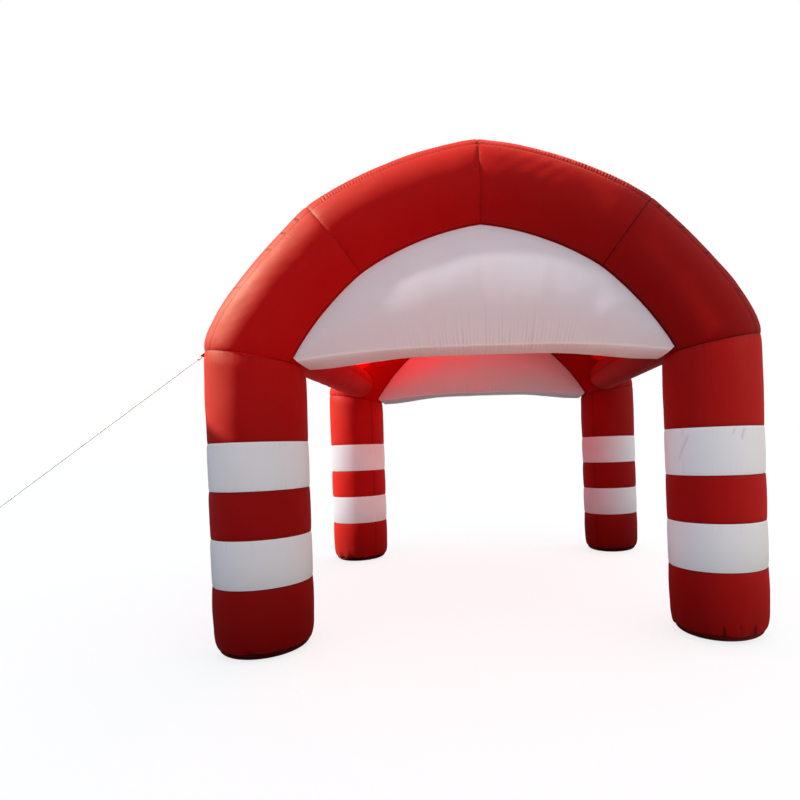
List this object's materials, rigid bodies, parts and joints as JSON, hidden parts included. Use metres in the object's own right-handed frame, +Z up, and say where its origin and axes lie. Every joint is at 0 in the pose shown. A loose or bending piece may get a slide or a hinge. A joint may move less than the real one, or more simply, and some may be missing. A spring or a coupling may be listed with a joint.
{
  "type": "inflatable event arch canopy",
  "caption": "Air-filled event canopy with tube legs, faceted tube arches, closed gable pillows, side beams and a sheet roof, to stand or pass under.",
  "frame": {"origin": "on the ground, under the middle of the canopy without its guy line", "axes": "+X to the right as seen from the front, from leg to leg of one arch; +Y from the front arch to the rear arch; +Z up"},
  "size_m": [6.6283, 4.472, 4.1173],
  "materials": {
    "red_fabric": "satin coated polyester, slightly translucent",
    "white_fabric": "satin coated polyester, translucent",
    "red_webbing": "matt woven webbing",
    "white_rope": "matt twisted fibre"
  },
  "bodies": {
    "root": {"leg_front_left_base_disc": "red_fabric", "leg_front_left_foot_panel": "red_fabric", "leg_front_left_lower_white_band": "white_fabric", "leg_front_left_middle_panel": "red_fabric", "leg_front_left_upper_white_band": "white_fabric", "leg_front_left_top_panel": "red_fabric", "arch_front_haunch_left": "red_fabric", "arch_front_haunch_left_outer_strip": "red_fabric", "arch_front_crown_left": "red_fabric", "arch_front_crown_left_outer_strip": "red_fabric", "leg_front_right_base_disc": "red_fabric", "leg_front_right_foot_panel": "red_fabric", "leg_front_right_lower_white_band": "white_fabric", "leg_front_right_middle_panel": "red_fabric", "leg_front_right_upper_white_band": "white_fabric", "leg_front_right_top_panel": "red_fabric", "arch_front_haunch_right": "red_fabric", "arch_front_haunch_right_outer_strip": "red_fabric", "arch_front_crown_right": "red_fabric", "arch_front_crown_right_outer_strip": "red_fabric", "gable_front_pillow": "white_fabric", "gable_front_underside": "white_fabric", "leg_rear_left_base_disc": "red_fabric", "leg_rear_left_foot_panel": "red_fabric", "leg_rear_left_lower_white_band": "white_fabric", "leg_rear_left_middle_panel": "red_fabric", "leg_rear_left_upper_white_band": "white_fabric", "leg_rear_left_top_panel": "red_fabric", "arch_rear_haunch_left": "red_fabric", "arch_rear_haunch_left_outer_strip": "red_fabric", "arch_rear_crown_left": "red_fabric", "arch_rear_crown_left_outer_strip": "red_fabric", "leg_rear_right_base_disc": "red_fabric", "leg_rear_right_foot_panel": "red_fabric", "leg_rear_right_lower_white_band": "white_fabric", "leg_rear_right_middle_panel": "red_fabric", "leg_rear_right_upper_white_band": "white_fabric", "leg_rear_right_top_panel": "red_fabric", "arch_rear_haunch_right": "red_fabric", "arch_rear_haunch_right_outer_strip": "red_fabric", "arch_rear_crown_right": "red_fabric", "arch_rear_crown_right_outer_strip": "red_fabric", "gable_rear_pillow": "white_fabric", "gable_rear_underside": "white_fabric", "side_beam_left": "red_fabric", "side_beam_right": "red_fabric", "roof_panel": "red_fabric", "guy_tab": "red_webbing", "guy_rope_head_knot": "white_rope", "guy_rope": "white_rope", "guy_rope_end_knot": "white_rope", "guy_rope_end_loop": "white_rope"}
  },
  "joints": []
}
